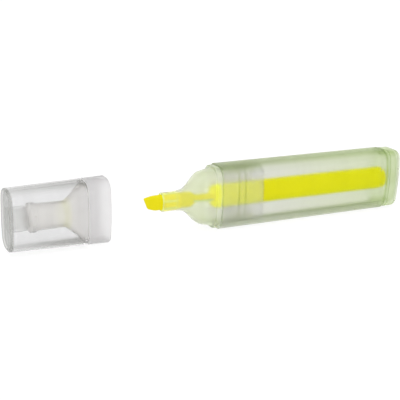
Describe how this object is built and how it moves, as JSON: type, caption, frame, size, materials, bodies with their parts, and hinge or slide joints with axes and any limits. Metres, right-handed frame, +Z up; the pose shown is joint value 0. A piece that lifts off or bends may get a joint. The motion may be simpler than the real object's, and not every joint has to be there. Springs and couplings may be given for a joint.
{
  "type": "highlighter",
  "caption": "Flat highlighter pen with a translucent barrel, a yellow ink reservoir and chisel nib, and a clear pull-off cap with a frosted liner.",
  "frame": {"origin": "centre of the bottom of the bounding box of the pulled-apart pen, on the surface that its narrow side stands on", "axes": "+X along the pen from the cap and nib towards the rear plug, +Y across its thickness, +Z up across its width"},
  "size_m": [0.1728, 0.014, 0.026],
  "materials": {
    "hazy_barrel": "satin",
    "green_tinted_plug": "satin",
    "hazy_nose": "satin",
    "nib_felt": "matte",
    "ink_fibre": "matte",
    "clear_film": "gloss",
    "clear_shell": "gloss",
    "frosted_liner": "matte"
  },
  "bodies": {
    "pen": {"barrel": "hazy_barrel", "rear_plug": "green_tinted_plug", "front_section": "hazy_nose", "nib": "nib_felt", "ink_reservoir": "ink_fibre", "reservoir_film": "clear_film"},
    "cap": {"cap_shell": "clear_shell", "cap_liner": "frosted_liner"}
  },
  "joints": [
    {"name": "cap_slide", "type": "slide", "parent": "pen", "child": "cap", "axis": [1, 0, 0], "range_m": [0, 0.044]}
  ]
}
